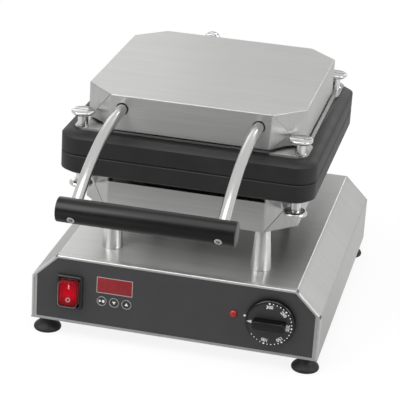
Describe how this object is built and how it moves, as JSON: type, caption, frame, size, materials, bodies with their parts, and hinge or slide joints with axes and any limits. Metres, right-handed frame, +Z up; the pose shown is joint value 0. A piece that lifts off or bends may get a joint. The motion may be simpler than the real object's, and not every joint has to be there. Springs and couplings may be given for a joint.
{
  "type": "waffle cone maker",
  "caption": "Electric waffle cone baker: hinged square cast plates under folded steel covers, on conical pillars over a base with switch, timer and dial; bar handle on curved rods.",
  "frame": {"origin": "on the floor under the middle of the machine's whole outline, from the front of the grip to the back of the mains gland", "axes": "+X to the right as seen from the front, +Y to the back, +Z up; the controls and the grip face -Y"},
  "size_m": [0.3016, 0.487, 0.2608],
  "materials": {
    "stainless": "brushed stainless sheet",
    "plain_sheet": "mill-finish stainless sheet",
    "foil": "satin printed polyester foil",
    "fasteners": "bright steel screws and nuts",
    "rubber": "moulded black rubber",
    "turned_steel": "fine turned steel",
    "polished_steel": "polished steel",
    "switch_black": "black moulded plastic",
    "rocker_red": "translucent red plastic",
    "display_red": "dark red filter window",
    "circuit_board": "green circuit board",
    "button_grey": "satin grey plastic",
    "lamp_red": "red lens",
    "ceramic": "cream phenolic and ceramic",
    "dial_black": "black phenolic",
    "copper": "drawn copper",
    "gland_black": "black nylon",
    "cast_iron": "black non-stick coating on a casting",
    "heater_steel": "heat-tinted tube",
    "insulation": "mineral fibre mat",
    "aluminium": "milled aluminium",
    "grip_black": "satin black phenolic",
    "spring_steel": "blackened spring steel",
    "conduit_steel": "wound steel hose",
    "nickel": "nickel-plated brass"
  },
  "bodies": {
    "base": {"base_hood": "stainless", "front_plate": "stainless", "control_foil": "foil", "bottom_plate": "plain_sheet", "rear_plate": "plain_sheet", "panel_screws": "fasteners", "feet": "rubber", "foot_screws": "fasteners", "pillars": "turned_steel", "pillar_tubes": "fasteners", "switch_frame": "switch_black", "display_window": "display_red", "timer_board": "circuit_board", "pilot_lamp": "lamp_red", "thermostat": "ceramic", "thermostat_feeler": "copper", "terminal_block": "ceramic", "mains_gland": "gland_black", "lower_cover": "stainless", "lower_carrier": "stainless", "lower_plate": "cast_iron", "lower_heater": "heater_steel", "lower_press_sheet": "plain_sheet", "lower_mat": "insulation", "lower_cover_posts": "turned_steel", "lower_hinge_leaves": "plain_sheet", "lower_rivets": "fasteners", "hinge_pin": "turned_steel", "pin_rings": "spring_steel", "conduit": "conduit_steel", "conduit_nut_lower": "nickel"},
    "lid": {"upper_cover": "stainless", "upper_carrier": "stainless", "upper_plate": "cast_iron", "upper_heater": "heater_steel", "upper_press_sheet": "plain_sheet", "upper_mat": "insulation", "upper_cover_posts": "turned_steel", "handle_blocks": "aluminium", "handle_rod_left": "polished_steel", "handle_rod_right": "polished_steel", "handle_grip": "grip_black", "grip_screws": "fasteners", "upper_hinge_leaves": "plain_sheet", "upper_rivets": "fasteners", "conduit_nut_upper": "nickel"},
    "rocker": {"switch_rocker": "rocker_red"},
    "key_start": {"button_start": "button_grey"},
    "key_down": {"button_down": "button_grey"},
    "key_up": {"button_up": "button_grey"},
    "dial": {"thermostat_dial": "dial_black", "thermostat_shaft": "turned_steel"},
    "lower_knob_fl": {"lower_screw_fl": "polished_steel"},
    "lower_knob_fr": {"lower_screw_fr": "polished_steel"},
    "lower_knob_rl": {"lower_screw_rl": "polished_steel"},
    "lower_knob_rr": {"lower_screw_rr": "polished_steel"},
    "upper_knob_fl": {"upper_screw_fl": "polished_steel"},
    "upper_knob_fr": {"upper_screw_fr": "polished_steel"},
    "upper_knob_rl": {"upper_screw_rl": "polished_steel"},
    "upper_knob_rr": {"upper_screw_rr": "polished_steel"}
  },
  "joints": [
    {"name": "lid_hinge", "type": "hinge", "parent": "base", "child": "lid", "pos_m": [0, 0.19047, 0.1985], "axis": [-1, 0, 0], "range_deg": [0, 100], "deforming": ["conduit"]},
    {"name": "rocker_tip", "type": "hinge", "parent": "base", "child": "rocker", "pos_m": [-0.109, -0.09853, 0.0527], "axis": [1, 0, 0], "range_deg": [0, 16]},
    {"name": "dial_turn", "type": "hinge", "parent": "base", "child": "dial", "pos_m": [0.1005, -0.09953, 0.054], "axis": [0, 1, 0], "range_deg": [0, 270]},
    {"name": "start_press", "type": "slide", "parent": "base", "child": "key_start", "axis": [0, 1, 0], "range_m": [0, 0.0005], "stiffness_N_per_m": 2000},
    {"name": "down_press", "type": "slide", "parent": "base", "child": "key_down", "axis": [0, 1, 0], "range_m": [0, 0.0005], "stiffness_N_per_m": 2000},
    {"name": "up_press", "type": "slide", "parent": "base", "child": "key_up", "axis": [0, 1, 0], "range_m": [0, 0.0005], "stiffness_N_per_m": 2000},
    {"name": "lower_fl_turn", "type": "hinge", "parent": "base", "child": "lower_knob_fl", "pos_m": [-0.1105, -0.06703, 0.1985], "axis": [0, 0, -1], "continuous": true},
    {"name": "lower_fr_turn", "type": "hinge", "parent": "base", "child": "lower_knob_fr", "pos_m": [0.1105, -0.06703, 0.1985], "axis": [0, 0, -1], "continuous": true},
    {"name": "lower_rl_turn", "type": "hinge", "parent": "base", "child": "lower_knob_rl", "pos_m": [-0.1105, 0.15097, 0.1985], "axis": [0, 0, -1], "continuous": true},
    {"name": "lower_rr_turn", "type": "hinge", "parent": "base", "child": "lower_knob_rr", "pos_m": [0.1105, 0.15097, 0.1985], "axis": [0, 0, -1], "continuous": true},
    {"name": "upper_fl_turn", "type": "hinge", "parent": "lid", "child": "upper_knob_fl", "pos_m": [-0.1105, -0.06703, 0.1985], "axis": [0, 0, 1], "continuous": true},
    {"name": "upper_fr_turn", "type": "hinge", "parent": "lid", "child": "upper_knob_fr", "pos_m": [0.1105, -0.06703, 0.1985], "axis": [0, 0, 1], "continuous": true},
    {"name": "upper_rl_turn", "type": "hinge", "parent": "lid", "child": "upper_knob_rl", "pos_m": [-0.1105, 0.15097, 0.1985], "axis": [0, 0, 1], "continuous": true},
    {"name": "upper_rr_turn", "type": "hinge", "parent": "lid", "child": "upper_knob_rr", "pos_m": [0.1105, 0.15097, 0.1985], "axis": [0, 0, 1], "continuous": true}
  ]
}
